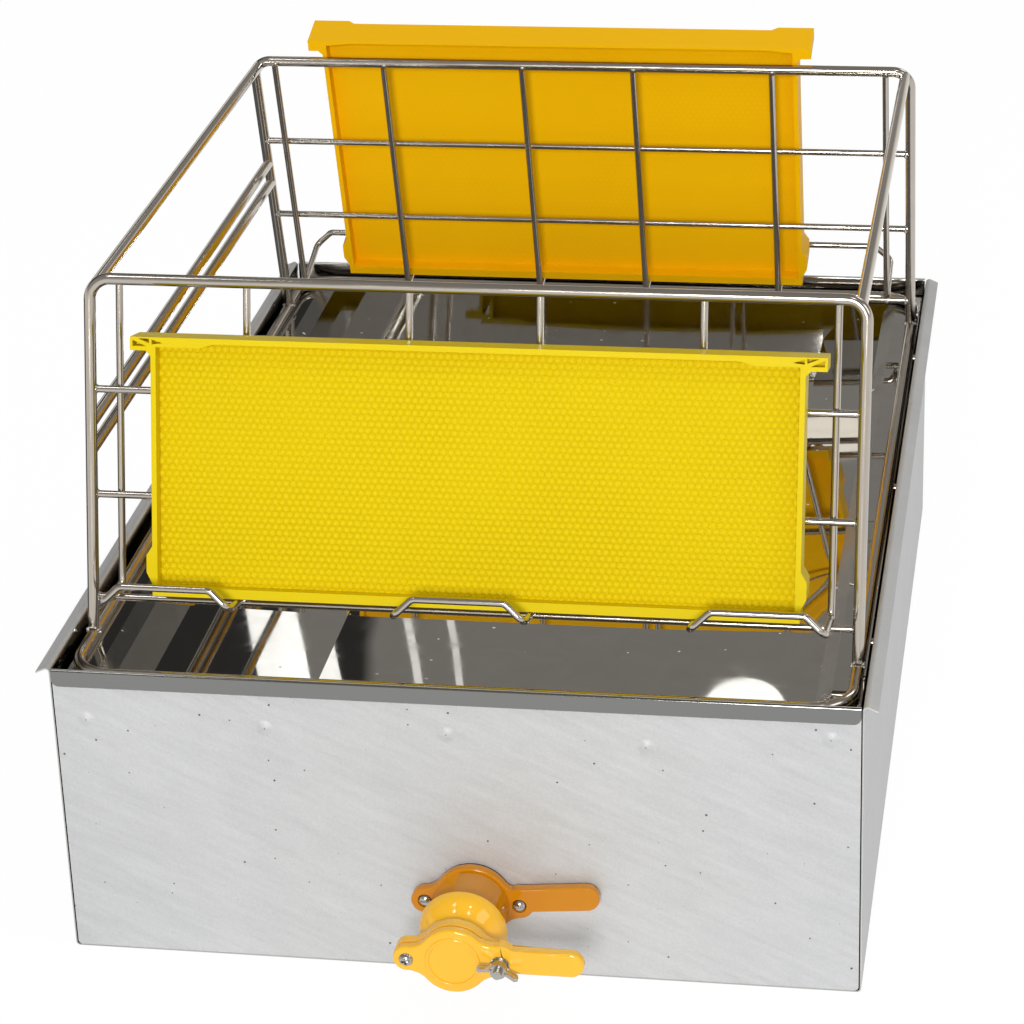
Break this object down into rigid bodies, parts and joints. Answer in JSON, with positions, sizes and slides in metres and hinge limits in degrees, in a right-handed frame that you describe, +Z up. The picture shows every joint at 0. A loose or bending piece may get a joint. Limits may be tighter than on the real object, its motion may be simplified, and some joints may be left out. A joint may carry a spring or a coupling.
{
  "type": "uncapping tank",
  "caption": "Stainless uncapping tank with lift-out strainer tray, leaning rod holder for two comb frames and a swing-shutter honey gate.",
  "frame": {"origin": "middle of the tank's underside", "axes": "+Z up, -Y toward the front wall with the gate, +X to the right seen from the front"},
  "size_m": [0.5584, 0.8516, 0.4639],
  "materials": {
    "tank_steel": "satin sheet, lightly marked",
    "tray_steel": "mirror-polished sheet",
    "rod_steel": "bright drawn rod and wire",
    "screw_steel": "bright turned steel",
    "front_comb_plastic": "moulded, satin",
    "rear_comb_plastic": "moulded, satin",
    "gate_plastic": "moulded, glossy",
    "seal_rubber": "matte"
  },
  "bodies": {
    "tank": {"tank_shell": "tank_steel", "front_wall": "tank_steel", "rear_wall": "tank_steel", "tray_studs": "tank_steel", "gate_gasket": "seal_rubber", "gate_flange": "gate_plastic", "flange_screws": "screw_steel", "flange_nuts": "screw_steel", "gate_body": "gate_plastic", "seat_seal": "seal_rubber", "pivot_screw": "screw_steel", "pivot_nut": "screw_steel", "clamp_bolt": "screw_steel"},
    "tray": {"strainer_tray": "tray_steel", "strainer_sheet": "tray_steel"},
    "rod_work": {"base_ring": "rod_steel", "front_hoop": "rod_steel", "rear_hoop": "rod_steel", "left_top_rail": "rod_steel", "right_top_rail": "rod_steel", "upper_side_rail": "rod_steel", "lower_side_rail": "rod_steel", "front_left_hook": "rod_steel", "front_middle_hook": "rod_steel", "front_right_hook": "rod_steel", "rear_left_hook": "rod_steel", "rear_middle_hook": "rod_steel", "rear_right_hook": "rod_steel", "front_lower_cross": "rod_steel", "front_middle_cross": "rod_steel", "front_upper_cross": "rod_steel", "rear_lower_cross": "rod_steel", "rear_middle_cross": "rod_steel", "rear_upper_cross": "rod_steel"},
    "front_comb": {"front_comb_frame": "front_comb_plastic"},
    "rear_comb": {"rear_comb_frame": "rear_comb_plastic"},
    "shutter": {"gate_shutter": "gate_plastic"},
    "washer": {"clamp_washer": "screw_steel"},
    "wing": {"wing_nut": "screw_steel"}
  },
  "joints": [
    {"name": "tray_lift", "type": "slide", "parent": "tank", "child": "tray", "axis": [0, 0, 1], "range_m": [0, 0.25]},
    {"name": "rod_work_lift", "type": "slide", "parent": "tray", "child": "rod_work", "axis": [0, 0, 1], "range_m": [0, 0.2]},
    {"name": "front_comb_lift", "type": "slide", "parent": "rod_work", "child": "front_comb", "axis": [0, 0, 1], "range_m": [0, 0.25]},
    {"name": "rear_comb_lift", "type": "slide", "parent": "rod_work", "child": "rear_comb", "axis": [0, 0, 1], "range_m": [0, 0.25]},
    {"name": "shutter_swing", "type": "hinge", "parent": "tank", "child": "shutter", "pos_m": [-0.02, -0.4548, 0.057], "axis": [0, -1, 0], "range_deg": [0, 100]},
    {"name": "washer_travel", "type": "slide", "parent": "tank", "child": "washer", "axis": [0, -1, 0], "range_m": [0, 0.0031]},
    {"name": "wing_turn", "type": "hinge", "parent": "washer", "child": "wing", "pos_m": [0.042, -0.4636, 0.057], "axis": [0, -1, 0], "range_deg": [0, 1080]}
  ],
  "couplings": [
    {"joint": "washer_travel", "follows": "wing_turn", "m_per_rad": 0.00015915}
  ]
}
